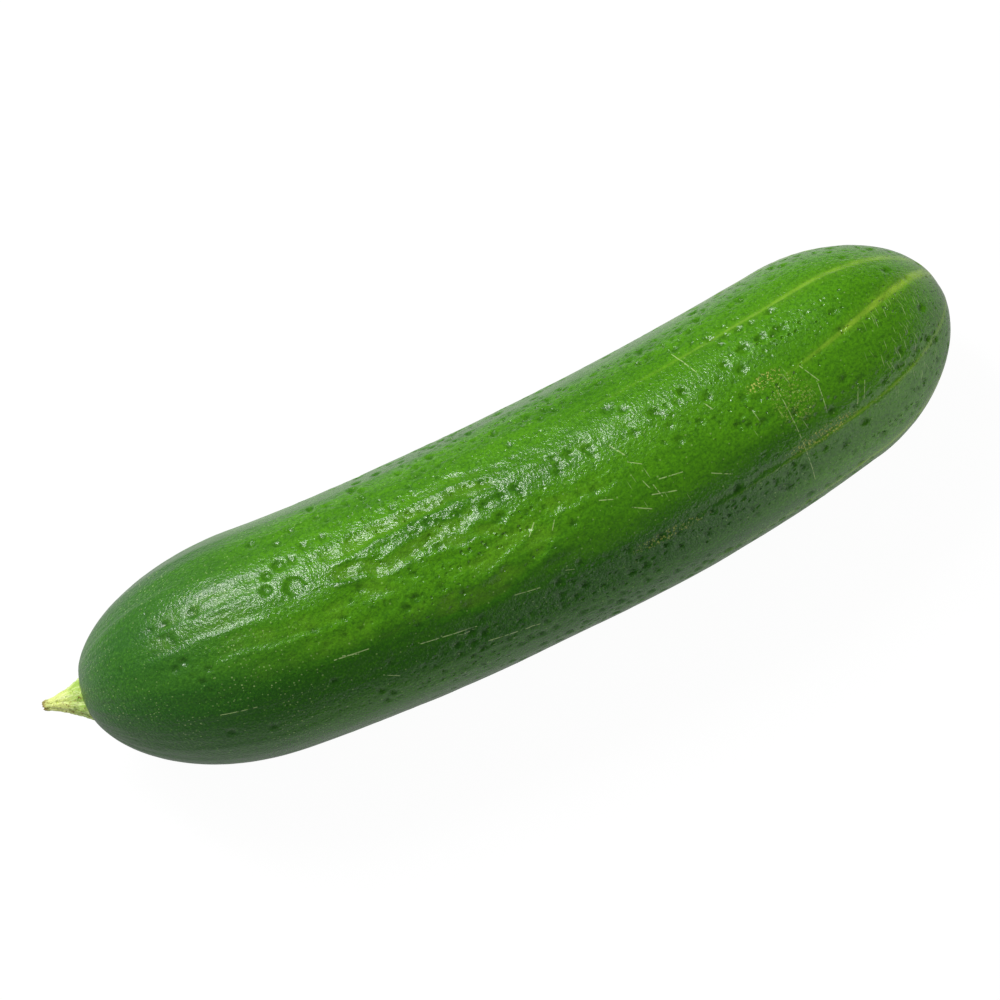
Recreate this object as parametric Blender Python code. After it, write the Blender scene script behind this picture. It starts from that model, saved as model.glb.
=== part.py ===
"""A whole slicing cucumber lying on its side, with the dry stub of its stem.

The fruit is one closed solid: planar rings strung along a bowed centre line, each
with three soft lobes and nine faint ribs, an elliptical cap at both ends, a small
flat seat for the stem, a blossom scar, and a shallow flat along the belly where it
rests. The stem stub is a second solid: a ridged, tapering remnant just off its seat.

Frame: +X from the stem end to the blossom end, +Y towards the hollow side of the
bow, +Z up, origin in the middle of the underside of the whole object's box.
"""

import math

import bmesh
import bpy
from mathutils import Vector

MM = 0.001

# The fruit's outline, in metres. X is measured from the middle of the body.
STEM_POLE_X = -96.2 * MM
BLOSSOM_POLE_X = 95.9 * MM
STEM_CAP_LENGTH = 38.5 * MM
BLOSSOM_CAP_LENGTH = 29.5 * MM
FULLEST_RADIUS = 23.7 * MM
FULLEST_X = 21.0 * MM
# The radius falls off with the square of the distance from FULLEST_X, in 1 / metre.
STEM_SIDE_THINNING = 0.09
BLOSSOM_SIDE_THINNING = 0.52

# The bow, in plan: (x, y) points in mm that the centre line passes through.
BOW = [(-96.2, 7.0), (-62.8, 1.1), (-30.8, -1.7), (0.0, -2.3), (25.0, -1.9), (57.0, 0.9), (95.9, 6.3)]
DROOP_START_X = -62.0 * MM      # from here to the stem pole the centre line sinks
DROOP = 2.4 * MM

# The section and the two end faces.
LOBES = 3
LOBE_DEPTH = 0.010              # as a share of the radius
RIBS = 9
RIB_DEPTH = 0.004
RIB_LINE_ANGLE = math.radians(4.0)
STEM_SEAT_RADIUS = 4.2 * MM
SCAR_RADIUS = 2.2 * MM
BELLY_DEPTH = 0.32 * MM         # how much of the round underside the flat takes off

# The stem stub.
STUB_GAP = 0.3 * MM
STUB_LENGTH = 8.0 * MM
STUB_BASE_RADIUS = 3.7 * MM
STUB_TIP_RADIUS = 0.95 * MM
STUB_TAPER = 1.4                # above 1 the sides are hollow
STUB_RIDGES = 5
STUB_RIDGE_DEPTH = 0.12
STUB_BASE_SHIFT = -0.8 * MM     # the base sits this far to the side of the seat's middle
STUB_SIDEWAYS = 0.9 * MM        # how far the tip leans off the seat's normal
STUB_UPWARDS = 0.9 * MM

# How finely the solids are faceted.
SIDES = 54
CAP_STEPS = 11
BODY_STEPS = 20
STUB_SIDES = 30
STUB_STEPS = 8

SKIN_GREEN = (0.045, 0.125, 0.012, 1.0)
STUB_STRAW = (0.36, 0.40, 0.13, 1.0)


def clear_scene():
    for item in list(bpy.data.objects):
        bpy.data.objects.remove(item, do_unlink=True)


def make_material(name, colour, roughness):
    material = bpy.data.materials.new(name)
    material.use_nodes = True
    shader = material.node_tree.nodes["Principled BSDF"]
    shader.inputs["Base Color"].default_value = colour
    shader.inputs["Roughness"].default_value = roughness
    shader.inputs["Metallic"].default_value = 0.0
    material.diffuse_color = colour
    return material


def bow_at(x):
    """Sideways offset of the centre line: a Catmull-Rom curve through the bow's points."""
    points = [Vector(point) * MM for point in BOW]
    before = points[0] * 2 - points[1]
    after = points[-1] * 2 - points[-2]
    points = [before] + points + [after]
    span = 1
    while span < len(points) - 3 and x > points[span + 1].x:
        span += 1
    start, end = points[span], points[span + 1]
    width = end.x - start.x
    slope_in = (end.y - points[span - 1].y) / (end.x - points[span - 1].x)
    slope_out = (points[span + 2].y - start.y) / (points[span + 2].x - start.x)
    t = (x - start.x) / width
    rise = start.y * (2 * t**3 - 3 * t**2 + 1) + end.y * (3 * t**2 - 2 * t**3)
    bend = slope_in * (t**3 - 2 * t**2 + t) + slope_out * (t**3 - t**2)
    return rise + bend * width


def body_radius(x):
    """Radius of the body before the caps round it off."""
    thinning = STEM_SIDE_THINNING if x < FULLEST_X else BLOSSOM_SIDE_THINNING
    return FULLEST_RADIUS - thinning * (x - FULLEST_X) ** 2


def centre_at(x):
    """Centre of the section at x, high enough for the belly to lie along z = 0."""
    sinking = max(0.0, (DROOP_START_X - x) / (DROOP_START_X - STEM_POLE_X))
    height = body_radius(x) * (1 - LOBE_DEPTH) - BELLY_DEPTH - DROOP * sinking**2
    return Vector((x, bow_at(x), height))


def section_frame(x):
    """Centre, heading, sideways and upward directions of the section at x."""
    step = 0.5 * MM
    heading = (centre_at(x + step) - centre_at(x - step)).normalized()
    sideways = Vector((0, 0, 1)).cross(heading).normalized()
    upwards = heading.cross(sideways)
    return centre_at(x), heading, sideways, upwards


def add_ring(bm, centre, sideways, upwards, radii):
    """One closed planar loop of vertices. Angles run from the top towards -Y."""
    ring = bmesh.ops.create_circle(bm, segments=len(radii), radius=1.0)["verts"]
    for index, (vert, radius) in enumerate(zip(ring, radii)):
        angle = 2 * math.pi * index / len(radii)
        spoke = upwards * math.cos(angle) - sideways * math.sin(angle)
        vert.co = centre + spoke * radius
    return {edge for vert in ring for edge in vert.link_edges}


def close_tube(bm, rings):
    """Bridges each ring to the next and fills the first and the last."""
    for near, far in zip(rings, rings[1:]):
        bmesh.ops.bridge_loops(bm, edges=list(near | far))
    bmesh.ops.edgeloop_fill(bm, edges=list(rings[0]))
    bmesh.ops.edgeloop_fill(bm, edges=list(rings[-1]))


def finish_object(bm, name, material, parent):
    bmesh.ops.recalc_face_normals(bm, faces=bm.faces)
    mesh = bpy.data.meshes.new(name)
    bm.to_mesh(mesh)
    bm.free()
    mesh.shade_smooth()
    mesh.set_sharp_from_angle(angle=math.radians(40))
    mesh.materials.append(material)
    piece = bpy.data.objects.new(name, mesh)
    piece.parent = parent
    bpy.context.scene.collection.objects.link(piece)
    return piece


def body_stations():
    """(x, share of the body radius) of every ring, from the stem seat to the blossom scar."""
    stations = []
    seat = math.asin(STEM_SEAT_RADIUS / body_radius(STEM_POLE_X))
    for step in range(CAP_STEPS):
        angle = seat + (math.pi / 2 - seat) * step / CAP_STEPS
        stations.append((STEM_POLE_X + STEM_CAP_LENGTH * (1 - math.cos(angle)), math.sin(angle)))
    body_start = STEM_POLE_X + STEM_CAP_LENGTH
    body_end = BLOSSOM_POLE_X - BLOSSOM_CAP_LENGTH
    for step in range(BODY_STEPS + 1):
        stations.append((body_start + (body_end - body_start) * step / BODY_STEPS, 1.0))
    scar = math.asin(SCAR_RADIUS / body_radius(BLOSSOM_POLE_X))
    for step in reversed(range(CAP_STEPS)):
        angle = scar + (math.pi / 2 - scar) * step / CAP_STEPS
        stations.append((BLOSSOM_POLE_X - BLOSSOM_CAP_LENGTH * (1 - math.cos(angle)), math.sin(angle)))
    return stations


def section_radii(radius, fade):
    """Radii around one section. The lobes and ribs die out towards the poles."""
    radii = []
    for index in range(SIDES):
        angle = 2 * math.pi * index / SIDES
        lobes = LOBE_DEPTH * math.cos(LOBES * angle)
        ribs = -RIB_DEPTH * math.cos(RIBS * (angle - RIB_LINE_ANGLE))
        radii.append(radius * (1 + fade * (lobes + ribs)))
    return radii


def make_fruit(parent):
    bm = bmesh.new()
    rings = []
    for x, share in body_stations():
        centre, _, sideways, upwards = section_frame(x)
        rings.append(add_ring(bm, centre, sideways, upwards, section_radii(share * body_radius(x), share)))
    close_tube(bm, rings)
    everything = bm.verts[:] + bm.edges[:] + bm.faces[:]
    belly = {"plane_co": (0, 0, 0), "plane_no": (0, 0, -1)}
    cut = bmesh.ops.bisect_plane(bm, geom=everything, clear_outer=True, **belly)
    rim = [item for item in cut["geom_cut"] if isinstance(item, bmesh.types.BMEdge)]
    bmesh.ops.edgeloop_fill(bm, edges=rim)
    return finish_object(bm, "fruit", make_material("skin", SKIN_GREEN, 0.35), parent)


def make_stem_stub(parent):
    seat_x = body_stations()[0][0]
    seat, heading, sideways, upwards = section_frame(seat_x)
    bm = bmesh.new()
    rings = []
    for step in range(STUB_STEPS + 1):
        along = step / STUB_STEPS
        shift = sideways * (STUB_BASE_SHIFT + STUB_SIDEWAYS * along) + upwards * STUB_UPWARDS * along
        centre = seat - heading * (STUB_GAP + STUB_LENGTH * along) + shift
        radius = STUB_TIP_RADIUS + (STUB_BASE_RADIUS - STUB_TIP_RADIUS) * (1 - along) ** STUB_TAPER
        radii = []
        for side in range(STUB_SIDES):
            ridge = STUB_RIDGE_DEPTH * math.cos(STUB_RIDGES * 2 * math.pi * side / STUB_SIDES)
            radii.append(radius * (1 + ridge))
        rings.append(add_ring(bm, centre, sideways, upwards, radii))
    close_tube(bm, rings)
    return finish_object(bm, "stem_stub", make_material("dry_stem", STUB_STRAW, 0.7), parent)


def centre_on_origin(parent, pieces):
    """Moves the parent so that the middle of the box's underside is at the origin."""
    corners = [vert.co for piece in pieces for vert in piece.data.vertices]
    for axis in (0, 1):
        values = [corner[axis] for corner in corners]
        parent.location[axis] = -(min(values) + max(values)) / 2
    parent.location.z = -min(corner.z for corner in corners)


def main():
    clear_scene()
    cucumber = bpy.data.objects.new("cucumber", None)
    bpy.context.scene.collection.objects.link(cucumber)
    pieces = [make_fruit(cucumber), make_stem_stub(cucumber)]
    centre_on_origin(cucumber, pieces)


main()
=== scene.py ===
"""Looks of a whole slicing cucumber: warty, waxy skin, pale lines, scars and a dry stem stub.

The skin is swept along the bowed spine by one Geometry Nodes tree and given its lumps,
flutes, wrinkles, folds and warts by a second. Places on the skin are written as (along,
around): millimetres over the skin from the stem pole, and degrees round from the top,
positive on the -Y side, so the belly is at 180.
"""

import math

import bpy
from bpy.props import FloatProperty, FloatVectorProperty, IntProperty, PointerProperty
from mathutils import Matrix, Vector, noise as steady_noise


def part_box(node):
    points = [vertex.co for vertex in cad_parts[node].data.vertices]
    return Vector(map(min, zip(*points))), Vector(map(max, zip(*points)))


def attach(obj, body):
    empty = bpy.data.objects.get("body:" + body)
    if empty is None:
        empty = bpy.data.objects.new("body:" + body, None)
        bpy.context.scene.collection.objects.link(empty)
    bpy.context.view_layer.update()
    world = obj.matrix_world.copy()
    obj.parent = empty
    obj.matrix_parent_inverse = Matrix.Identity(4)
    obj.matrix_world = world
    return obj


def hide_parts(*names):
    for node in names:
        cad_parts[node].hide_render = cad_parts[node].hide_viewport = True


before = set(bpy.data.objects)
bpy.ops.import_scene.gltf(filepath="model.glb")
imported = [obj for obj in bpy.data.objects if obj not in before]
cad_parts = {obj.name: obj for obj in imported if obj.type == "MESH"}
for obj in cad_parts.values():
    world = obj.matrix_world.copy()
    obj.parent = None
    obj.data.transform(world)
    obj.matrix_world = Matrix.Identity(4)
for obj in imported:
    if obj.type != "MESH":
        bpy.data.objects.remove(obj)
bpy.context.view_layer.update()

bl_info = {
    "name": "Cucumber",
    "version": (1, 0, 0),
    "blender": (4, 5, 0),
    "location": "3D View > Sidebar > Cucumber",
    "description": "Makes a whole cucumber with its warty skin, stem stub and studio stage",
    "category": "Add Mesh",
}

MM = 0.001

# ---------------------------------------------------------------------------------
# The body's shape, as the solid has it. X is measured from the middle of the body.

STEM_POLE_X = -96.2 * MM
BLOSSOM_POLE_X = 95.9 * MM
STEM_CAP_LENGTH = 38.5 * MM
BLOSSOM_CAP_LENGTH = 29.5 * MM
FULLEST_RADIUS = 23.7 * MM
FULLEST_X = 21.0 * MM
STEM_SIDE_THINNING = 0.09
BLOSSOM_SIDE_THINNING = 0.52
BOW = [(-96.2, 7.0), (-62.8, 1.1), (-30.8, -1.7), (0.0, -2.3), (25.0, -1.9), (57.0, 0.9), (95.9, 6.3)]
DROOP_START_X = -62.0 * MM
DROOP = 2.4 * MM
LOBES = 3
LOBE_DEPTH = 0.010
RIBS = 9
RIB_DEPTH = 0.004
RIB_LINE_ANGLE = 4.0
BELLY_DEPTH = 0.32 * MM
STEM_SEAT_RADIUS = 4.2 * MM
SCAR_RADIUS = 2.2 * MM

MEAN_RADIUS = 23.5              # mm, for patterns that run round the skin
MM_PER_DEGREE = math.radians(MEAN_RADIUS)

# The skin's map runs from one edge of the belly round to the other, a little inside 0 to 1.
MAP_MARGIN = 0.004

# How finely the spine is measured, how many of its rows are kept for finding places on the
# skin, and how finely the body's own box is measured.
SPINE_STEPS = 4000
LOOKUP_ROWS = 801
BOX_ROWS = 400
BOX_SIDES = 72

# The stem stub: its root lies just inside the skin.
STUB_SUNK = 1.3 * MM
STUB_LENGTH = 9.1 * MM
STUB_ROOT_RADIUS = 4.5 * MM
STUB_TIP_RADIUS = 0.93 * MM
STUB_TAPER = 1.4
STUB_RIDGES = 7
STUB_BASE_SHIFT = -0.9 * MM
STUB_SIDEWAYS = 0.9 * MM
STUB_UPWARDS = 0.9 * MM

PEEL_HEIGHT = 0.2 * MM
FLOOR_RADIUS = 6.0
LIGHT_TARGET = (-0.03, 0.0, 0.02)
FOLD_POINT_SPACING = 0.3        # mm between the points that stand for a fold
MOST_WARTS_PER_SQUARE_METRE = 4.0e5
WART_SIZE_SEED = 3

# ---------------------------------------------------------------------------------
# What grew on the skin, listed as (along, around).

# Single warts: along, around, radius and height in mm, and how deep a pit the top has (0 to 1).
WARTS = [
    (57.8, -10.5, 2.6, 0.36, 0.0), (52.3, -13.5, 1.6, 0.55, 0.5), (53.3, -21.0, 1.3, 0.5, 0.0),
    (56.3, -24.5, 1.7, 0.6, 0.3), (59.0, -24.5, 1.1, 0.4, 0.0), (37.6, -16.5, 1.5, 0.45, 0.9),
    (31.8, -17.0, 1.1, 0.35, 0.4), (30.6, -10.0, 0.9, 0.3, 0.0), (32.2, -8.5, 1.0, 0.35, 0.5),
    (32.8, -5.5, 0.9, 0.3, 0.0), (28.8, -17.0, 0.8, 0.3, 0.0), (28.8, -28.0, 1.1, 0.25, 0.6),
    (33.7, 7.0, 1.0, 0.5, 0.0), (31.9, 9.5, 1.1, 0.35, 0.3), (37.6, 14.0, 0.9, 0.45, 0.0),
    (36.0, 20.0, 0.9, 0.4, 0.0), (36.7, 25.0, 0.8, 0.3, 0.0), (20.7, 0.0, 0.7, 0.3, 0.0),
    (58.2, 13.0, 0.9, 0.3, 0.0), (64.4, 13.0, 1.1, 0.35, 0.0), (63.3, 20.5, 0.8, 0.3, 0.0),
    (66.8, 20.0, 0.8, 0.25, 0.0), (69.4, 2.5, 1.0, 0.45, 0.0), (66.7, 6.5, 0.8, 0.25, 0.0),
    (52.5, -44.5, 1.3, 0.4, 0.0), (61.0, -43.5, 1.1, 0.4, 0.0), (62.2, -30.0, 1.3, 0.45, 0.4),
    (66.3, -30.5, 1.1, 0.4, 0.0), (66.2, -55.0, 1.2, 0.4, 0.0), (77.1, -64.0, 1.3, 0.5, 0.0),
    (81.7, -65.0, 1.3, 0.5, 0.0), (76.8, -46.0, 1.1, 0.4, 0.0), (81.3, -31.5, 1.0, 0.3, 0.0),
    (89.0, -43.5, 1.1, 0.25, 1.0), (78.5, 17.0, 1.3, 0.3, 0.8), (99.9, -1.0, 1.3, 0.55, 0.0),
    (86.5, -1.0, 1.1, 0.35, 0.0), (98.0, -9.5, 0.9, 0.4, 0.0), (101.6, -10.5, 0.9, 0.4, 0.0),
    (104.9, -11.0, 1.0, 0.4, 0.0), (114.5, -12.0, 0.9, 0.35, 0.0), (117.4, -14.5, 0.9, 0.4, 0.0),
    (121.0, -12.5, 1.3, 0.5, 0.3), (121.4, -8.5, 0.9, 0.35, 0.0), (118.3, 6.5, 1.0, 0.35, 0.0),
    (128.6, -26.5, 1.5, 0.5, 0.8), (131.3, -22.0, 1.1, 0.4, 0.0), (137.0, -11.0, 1.0, 0.35, 0.0),
    (142.8, -15.0, 1.0, 0.35, 0.0), (137.2, -3.5, 0.9, 0.35, 0.0), (130.6, -9.0, 0.9, 0.35, 0.0),
    (152.7, -15.5, 1.2, 0.45, 0.0), (157.7, -18.0, 1.5, 0.5, 0.0), (161.9, -18.5, 1.4, 0.5, 0.0),
    (166.2, -17.0, 1.3, 0.5, 0.0), (154.9, -9.5, 1.3, 0.45, 0.3), (156.4, -30.0, 0.9, 0.4, 0.0),
    (159.3, -29.5, 0.9, 0.4, 0.0), (162.2, -29.0, 0.9, 0.4, 0.0), (166.7, -29.5, 1.1, 0.45, 0.0),
    (148.7, 13.0, 1.1, 0.4, 0.0), (150.5, 15.5, 1.0, 0.35, 0.0), (153.3, 17.5, 1.1, 0.4, 0.0),
    (176.5, -10.0, 1.1, 0.35, 0.0), (192.5, -20.0, 1.0, 0.35, 0.0), (171.0, 49.0, 1.3, 0.45, 0.3),
    (152.0, 57.0, 1.3, 0.45, 0.3), (37.8, 53.0, 1.1, 0.3, 0.3), (45.0, 56.0, 1.0, 0.35, 0.3),
]

# Raised folds of skin with a crease on their -Y side: half width and height in mm, how
# uneven they are (0 to 1), and the places (along, around) that they run through.
FOLDS = [
    (2.9, 0.22, 0.4, [(26, -18), (40, -19), (54, -19)]),
    (2.7, 0.22, 0.4, [(24, -6), (38, -7), (52, -7)]),
    (2.6, 0.24, 0.6, [(34, 8), (46, 6), (60, 9), (72, 5), (80, 8)]),
    (3.2, 0.20, 0.5, [(40, 25), (58, 22), (76, 25)]),
    (1.9, 0.42, 0.9, [(60, -11), (66, -10), (72, -8), (75, -3), (80, -4), (84, -8), (92, -7), (101, -11)]),
    (2.4, 0.42, 0.35, [(60, -18), (69, -19), (76, -22), (90, -23), (96, -22), (100, -18), (101, -14)]),
    (1.8, 0.12, 0.6, [(74, -28), (84, -29), (94, -30), (101, -26), (105, -22), (112, -22), (122, -23)]),
    (1.6, 0.30, 1.0, [(83, -1), (88, -1), (95, 0), (100, 4), (104, 2)]),
    (2.8, 0.26, 1.0, [(74, 22), (80, 25), (86, 28), (94, 28), (100, 23), (106, 16), (112, 14)]),
    (2.3, 0.26, 1.0, [(84, 12), (92, 14), (98, 11), (106, 6), (116, 4), (126, 3)]),
    (1.6, 0.16, 0.8, [(106, -14), (118, -15), (132, -15), (146, -13)]),
    (1.0, 0.16, 0.3, [(116, 45), (138, 41), (160, 41), (175, 40), (186, 37), (196, 37)]),
    (1.2, 0.16, 0.3, [(168, 3), (180, 1), (190, -4), (198, -8)]),
    (1.2, 0.16, 0.3, [(140, -34), (160, -35), (176, -35), (190, -34)]),
]

# The pale lines that run to the blossom end: around where it starts, how far round it has
# leaned at the end, where it starts (along), half width in mm and strength.
PALE_LINES = [
    (-32.5, -2.0, 112.0, 1.0, 0.5), (4.5, -15.0, 152.0, 1.1, 0.95), (44.0, -6.0, 128.0, 0.5, 0.5),
    (84.0, -3.0, 120.0, 1.1, 0.8), (122.0, 2.0, 140.0, 1.0, 0.8), (161.0, 4.0, 128.0, 1.2, 0.7),
    (-159.0, 5.0, 134.0, 1.0, 0.8), (-117.0, 3.0, 118.0, 1.2, 0.8), (-75.0, -2.0, 136.0, 1.0, 0.7),
]

# Thin pale scratches, healed dry: (along, around) of both ends and the half width in mm.
SCRATCHES = [
    (37.0, 40.0, 43.4, 40.5, 0.13), (59.8, 30.0, 66.6, 31.0, 0.14), (61.5, 29.5, 64.5, 31.5, 0.11),
    (76.0, 39.5, 87.0, 43.5, 0.13), (83.0, 43.5, 85.4, 45.5, 0.10), (88.0, 55.0, 98.4, 59.5, 0.13),
    (67.4, 48.5, 70.2, 53.0, 0.12), (96.0, 36.0, 101.0, 38.5, 0.12), (107.0, 36.0, 108.6, 37.5, 0.10),
    (145.8, -38.0, 147.4, -20.0, 0.14), (125.2, -9.0, 127.4, 0.5, 0.15), (126.8, 2.0, 129.0, 6.0, 0.10),
    (123.6, 22.0, 126.8, 27.0, 0.14), (129.0, 17.0, 129.6, 24.0, 0.12), (128.0, 21.0, 132.5, 25.0, 0.14),
    (130.5, 16.0, 135.0, 18.5, 0.12), (127.5, 12.0, 128.2, 18.0, 0.11), (118.5, 12.0, 121.0, 14.5, 0.13),
    (103.2, 13.0, 105.2, 8.0, 0.13), (107.8, 15.0, 109.0, 11.0, 0.12), (145.0, -6.0, 146.0, 0.0, 0.13),
    (139.8, 26.0, 143.0, 31.5, 0.12), (158.6, 10.0, 157.8, 64.0, 0.10), (164.8, 4.0, 166.5, 15.0, 0.12),
    (172.5, 29.0, 171.0, 37.0, 0.12), (174.3, 28.0, 172.6, 36.5, 0.11), (166.0, 16.0, 165.0, 30.0, 0.11),
    (46.0, 118.0, 56.0, 124.0, 0.14), (92.0, -104.0, 103.0, -97.0, 0.13), (133.0, 142.0, 141.0, 150.0, 0.13),
    (150.0, -84.0, 152.5, -70.0, 0.13), (70.0, -140.0, 84.0, -134.0, 0.12),
]

# Rubbed, corky patches: along, around, half length and half width in mm, and strength.
CORK_PATCHES = [
    (157.5, 1.0, 4.4, 1.5, 0.9), (162.5, 40.0, 8.5, 1.6, 0.8), (160.5, 16.0, 4.5, 5.5, 0.35),
    (128.0, 44.0, 8.0, 1.2, 0.5), (98.0, 150.0, 9.0, 4.0, 0.5), (60.0, -128.0, 6.0, 3.0, 0.5),
]

# Where short rubs cross the skin, over the blossom end's shoulder and further back: along and
# around in mm, half length and half width in mm, and strength.
SHOULDER_RUBS = [(188.0, 11.0, 12.0, 13.0, 1.0), (188.0, -62.0, 13.0, 12.0, 0.8)]
FURTHER_RUBS = [(157.0, 8.0, 8.0, 10.0, 0.8), (131.0, 8.0, 8.0, 6.0, 0.7), (120.0, 60.0, 30.0, 8.0, 0.6)]


# ---------------------------------------------------------------------------------
# Short calls for building node trees


def plug(tree, socket, value):
    """Links a socket to the input, or sets the input's own value."""
    if isinstance(value, Field):
        value = value.socket
    if isinstance(value, bpy.types.NodeSocket):
        tree.links.new(value, socket)
    elif value is not None:
        socket.default_value = value


def add_node(tree, kind, inputs=None, **settings):
    """Adds a node with its settings and inputs. An input is named by its name or its index."""
    node = tree.nodes.new(kind)
    for name, value in settings.items():
        setattr(node, name, value)
    for key, value in (inputs or {}).items():
        plug(tree, node.inputs[key], value)
    return node


class Field:
    """A number or vector in a node tree that can be used in plain arithmetic."""

    def __init__(self, tree, socket):
        self.tree = tree
        self.socket = socket

    def maths(self, operation, *others):
        node = self.tree.nodes.new("ShaderNodeMath")
        node.operation = operation
        for socket, value in zip(node.inputs, (self, *others)):
            plug(self.tree, socket, value)
        return Field(self.tree, node.outputs[0])

    def vector_maths(self, operation, *others, output=0):
        node = self.tree.nodes.new("ShaderNodeVectorMath")
        node.operation = operation
        for socket, value in zip(node.inputs, (self, *others)):
            plug(self.tree, socket, value)
        return Field(self.tree, node.outputs[output])

    def __add__(self, other):
        return self.maths("ADD", other)

    def __sub__(self, other):
        return self.maths("SUBTRACT", other)

    def __rsub__(self, other):
        return number(self.tree, other).maths("SUBTRACT", self)

    def __mul__(self, other):
        return self.maths("MULTIPLY", other)

    def __truediv__(self, other):
        return self.maths("DIVIDE", other)

    def __pow__(self, other):
        return self.maths("POWER", other)

    __radd__ = __add__
    __rmul__ = __mul__

    def sine(self):
        return self.maths("SINE")

    def cosine(self):
        return self.maths("COSINE")

    def size(self):
        return self.maths("ABSOLUTE")

    def at_least(self, other):
        return self.maths("MAXIMUM", other)

    def at_most(self, other):
        return self.maths("MINIMUM", other)

    def between(self, low, high):
        """Rises smoothly from 0 where the field is low to 1 where it is high."""
        inputs = {0: self, 1: low, 2: high}
        node = add_node(self.tree, "ShaderNodeMapRange", inputs, interpolation_type="SMOOTHSTEP")
        return Field(self.tree, node.outputs[0])

    def spread(self, low, high, to_low, to_high):
        """Maps low..high onto to_low..to_high in a straight line, clamped."""
        inputs = {0: self, 1: low, 2: high, 3: to_low, 4: to_high}
        return Field(self.tree, add_node(self.tree, "ShaderNodeMapRange", inputs).outputs[0])

    def distance_to(self, other):
        return self.vector_maths("DISTANCE", other, output=1)


def number(tree, value):
    """The value as a field, whether it is a number or one already."""
    if isinstance(value, Field):
        return value
    node = tree.nodes.new("ShaderNodeValue")
    node.outputs[0].default_value = value
    return Field(tree, node.outputs[0])


def vector(tree, x, y, z):
    node = add_node(tree, "ShaderNodeCombineXYZ", {0: x, 1: y, 2: z})
    return Field(tree, node.outputs[0])


def parts_of(field):
    node = add_node(field.tree, "ShaderNodeSeparateXYZ", {0: field})
    return [Field(field.tree, output) for output in node.outputs]


def noise(place, size, detail=2.0, roughness=0.5):
    """Smooth noise about 0.5 at a place, in features of this size."""
    inputs = {"Vector": place, "Scale": 1 / size, "Detail": detail, "Roughness": roughness}
    return Field(place.tree, add_node(place.tree, "ShaderNodeTexNoise", inputs).outputs[0])


def new_tree(name, sockets):
    """An empty Geometry Nodes tree with its named inputs."""
    tree = bpy.data.node_groups.new(name, "GeometryNodeTree")
    tree.interface.new_socket("Geometry", in_out="INPUT", socket_type="NodeSocketGeometry")
    values = tree_inputs(tree, sockets)
    tree.interface.new_socket("Geometry", in_out="OUTPUT", socket_type="NodeSocketGeometry")
    return tree, values


def tree_inputs(tree, sockets):
    """Gives a tree its named inputs, each with its default or else its socket's type, and
    returns them as fields."""
    for label, default in sockets.items():
        kind = {int: "NodeSocketInt", float: "NodeSocketFloat"}.get(type(default), default)
        socket = tree.interface.new_socket(label, in_out="INPUT", socket_type=kind)
        if kind != default:
            socket.default_value = default
    entry = tree.nodes.new("NodeGroupInput")
    return {socket.name: Field(tree, socket) for socket in entry.outputs if socket.name}


def attribute(tree, name, kind="FLOAT"):
    node = add_node(tree, "GeometryNodeInputNamedAttribute", {"Name": name}, data_type=kind)
    return Field(tree, node.outputs[0])


def sampled(tree, geometry, value, index, kind="FLOAT"):
    """The value that a field has at one point of another geometry."""
    node = add_node(tree, "GeometryNodeSampleIndex", None, data_type=kind, domain="POINT")
    plug(tree, node.inputs["Geometry"], geometry)
    plug(tree, node.inputs["Value"], value)
    plug(tree, node.inputs["Index"], index)
    return Field(tree, node.outputs[0])


def stored(tree, geometry, name, value, kind="FLOAT", domain="POINT"):
    """The geometry with a field written to it under a name."""
    node = add_node(tree, "GeometryNodeStoreNamedAttribute", None, data_type=kind, domain=domain)
    plug(tree, node.inputs["Geometry"], geometry)
    node.inputs["Name"].default_value = name
    plug(tree, node.inputs["Value"], value)
    return node.outputs[0]


def nearest_point(tree, points):
    """The index of the nearest of some points."""
    return Field(tree, add_node(tree, "GeometryNodeSampleNearest", {"Geometry": points}).outputs[0])


def position(tree):
    return Field(tree, tree.nodes.new("GeometryNodeInputPosition").outputs[0])


def scaled(field, share):
    """A vector field times a number."""
    result = field.vector_maths("SCALE")
    plug(field.tree, result.socket.node.inputs["Scale"], share)
    return result


def end_tree(tree, geometry, material):
    """Closes a tree with Realize Instances and Set Material."""
    real = add_node(tree, "GeometryNodeRealizeInstances", {0: geometry})
    inputs = {"Geometry": real.outputs[0], "Material": material}
    painted = add_node(tree, "GeometryNodeSetMaterial", inputs)
    leave = tree.nodes.new("NodeGroupOutput")
    tree.links.new(painted.outputs[0], leave.inputs[0])


def use_tree(piece, tree, settings, objects=None):
    """Adds the tree to the piece as a modifier. Its inputs are set by identifier, each from the
    object or the setting of the same name."""
    modifier = piece.modifiers.new(tree.name, "NODES")
    modifier.node_group = tree
    for item in tree.interface.items_tree:
        setting = item.name.lower().replace(" ", "_")
        if item.in_out == "INPUT" and item.name in (objects or {}):
            modifier[item.identifier] = objects[item.name]
        elif item.in_out == "INPUT" and hasattr(settings, setting):
            modifier[item.identifier] = getattr(settings, setting)
    return modifier


def finished_mesh(host, name):
    """The host's evaluated shape as a plain mesh object, with the host removed."""
    graph = bpy.context.evaluated_depsgraph_get()
    mesh = bpy.data.meshes.new_from_object(host.evaluated_get(graph), depsgraph=graph)
    bpy.data.objects.remove(host, do_unlink=True)
    mesh.name = name
    mesh.shade_smooth()
    piece = bpy.data.objects.new(name, mesh)
    bpy.context.scene.collection.objects.link(piece)
    return piece


# ---------------------------------------------------------------------------------
# The body's spine, and places on the smooth skin


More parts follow.
